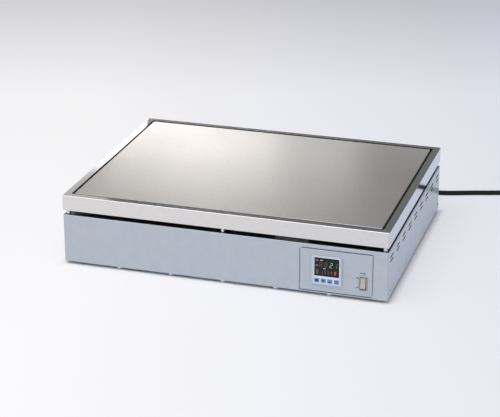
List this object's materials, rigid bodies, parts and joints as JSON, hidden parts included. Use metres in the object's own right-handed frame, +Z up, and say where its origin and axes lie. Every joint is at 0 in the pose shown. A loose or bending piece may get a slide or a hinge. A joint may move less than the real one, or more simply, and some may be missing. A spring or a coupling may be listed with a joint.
{
  "type": "laboratory hot plate",
  "caption": "Laboratory hot plate: a flat heated plate in a polished steel frame, standing on short posts above a slotted steel case with a temperature controller, rocker switch and mains lead.",
  "frame": {"origin": "on the bench, at the middle of the footprint", "axes": "+X to the right along the front, +Y from the front to the rear, +Z up; the controls face -Y"},
  "size_m": [0.7468, 0.6741, 0.1175],
  "materials": {
    "case_enamel": "smooth semi-gloss, pale blue-grey",
    "plated_steel": "zinc plated sheet",
    "bright_steel": "bright plated",
    "frame_steel": "polished, fine brushing on the front",
    "plate_aluminium": "satin, bead blasted",
    "element_steel": "heat tinted sheath",
    "sink_aluminium": "extruded",
    "insulation": "pressed ceramic fibre board",
    "bezel_plastic": "fine texture",
    "dark_window": "clear smoked",
    "black_plastic": "moulded",
    "ivory_plastic": "moulded",
    "key_blue": "moulded",
    "board": "coated board",
    "soft_rubber": "silicone",
    "foot_rubber": "moulded",
    "contact_brass": "plain",
    "wire_rubber": "silicone sleeve",
    "cord_rubber": "semi-matt sheath"
  },
  "bodies": {
    "case": {"base_plate": "plated_steel", "base_screws": "bright_steel", "case_shell": "case_enamel", "control_panel": "case_enamel", "controller_board": "board", "controller_clamp": "black_plastic", "controller_housing": "bezel_plastic", "controller_window": "dark_window", "cord_coil": "cord_rubber", "cord_gland": "cord_rubber", "display_module": "black_plastic", "earth_terminal": "contact_brass", "element_bars": "plated_steel", "feet": "foot_rubber", "foot_nuts": "bright_steel", "foot_screws": "bright_steel", "heat_shield_tray": "plated_steel", "heat_sink": "sink_aluminium", "heater_leads": "wire_rubber", "heating_element": "element_steel", "heating_plate": "plate_aluminium", "inner_cover": "plated_steel", "insulation_board": "insulation", "key_mat": "soft_rubber", "lower_standoffs": "bright_steel", "mains_wires": "wire_rubber", "overheat_cutout": "black_plastic", "panel_backing": "plated_steel", "panel_nuts": "plated_steel", "plate_screws": "bright_steel", "plate_sensor": "bright_steel", "plug_body": "cord_rubber", "plug_pins": "contact_brass", "power_cord": "cord_rubber", "relay_wires": "wire_rubber", "side_screws": "bright_steel", "signal_wires": "wire_rubber", "solid_state_relay": "black_plastic", "spacer_nuts": "bright_steel", "spacer_screws": "bright_steel", "spacers": "bright_steel", "support_rail": "plated_steel", "switch_body": "black_plastic", "switch_tabs": "contact_brass", "switch_wires": "wire_rubber", "terminal_block": "black_plastic", "terminal_screws": "contact_brass", "top_frame": "frame_steel", "upper_sleeves": "bright_steel", "wire_duct": "plated_steel"},
    "rocker": {"switch_rocker": "ivory_plastic"},
    "set_key_cap": {"set_key": "key_blue"},
    "shift_key_cap": {"shift_key": "key_blue"},
    "down_key_cap": {"down_key": "key_blue"},
    "up_key_cap": {"up_key": "key_blue"}
  },
  "joints": [
    {"name": "rocker_pivot", "type": "hinge", "parent": "case", "child": "rocker", "pos_m": [0.2265, -0.196, 0.0301], "axis": [1, 0, 0], "range_deg": [0, 22]},
    {"name": "set_key_press", "type": "slide", "parent": "case", "child": "set_key_cap", "axis": [0, 1, 0], "range_m": [0, 0.0004], "stiffness_N_per_m": 500, "springref_m": -0.0004},
    {"name": "shift_key_press", "type": "slide", "parent": "case", "child": "shift_key_cap", "axis": [0, 1, 0], "range_m": [0, 0.0004], "stiffness_N_per_m": 500, "springref_m": -0.0004},
    {"name": "down_key_press", "type": "slide", "parent": "case", "child": "down_key_cap", "axis": [0, 1, 0], "range_m": [0, 0.0004], "stiffness_N_per_m": 500, "springref_m": -0.0004},
    {"name": "up_key_press", "type": "slide", "parent": "case", "child": "up_key_cap", "axis": [0, 1, 0], "range_m": [0, 0.0004], "stiffness_N_per_m": 500, "springref_m": -0.0004}
  ]
}
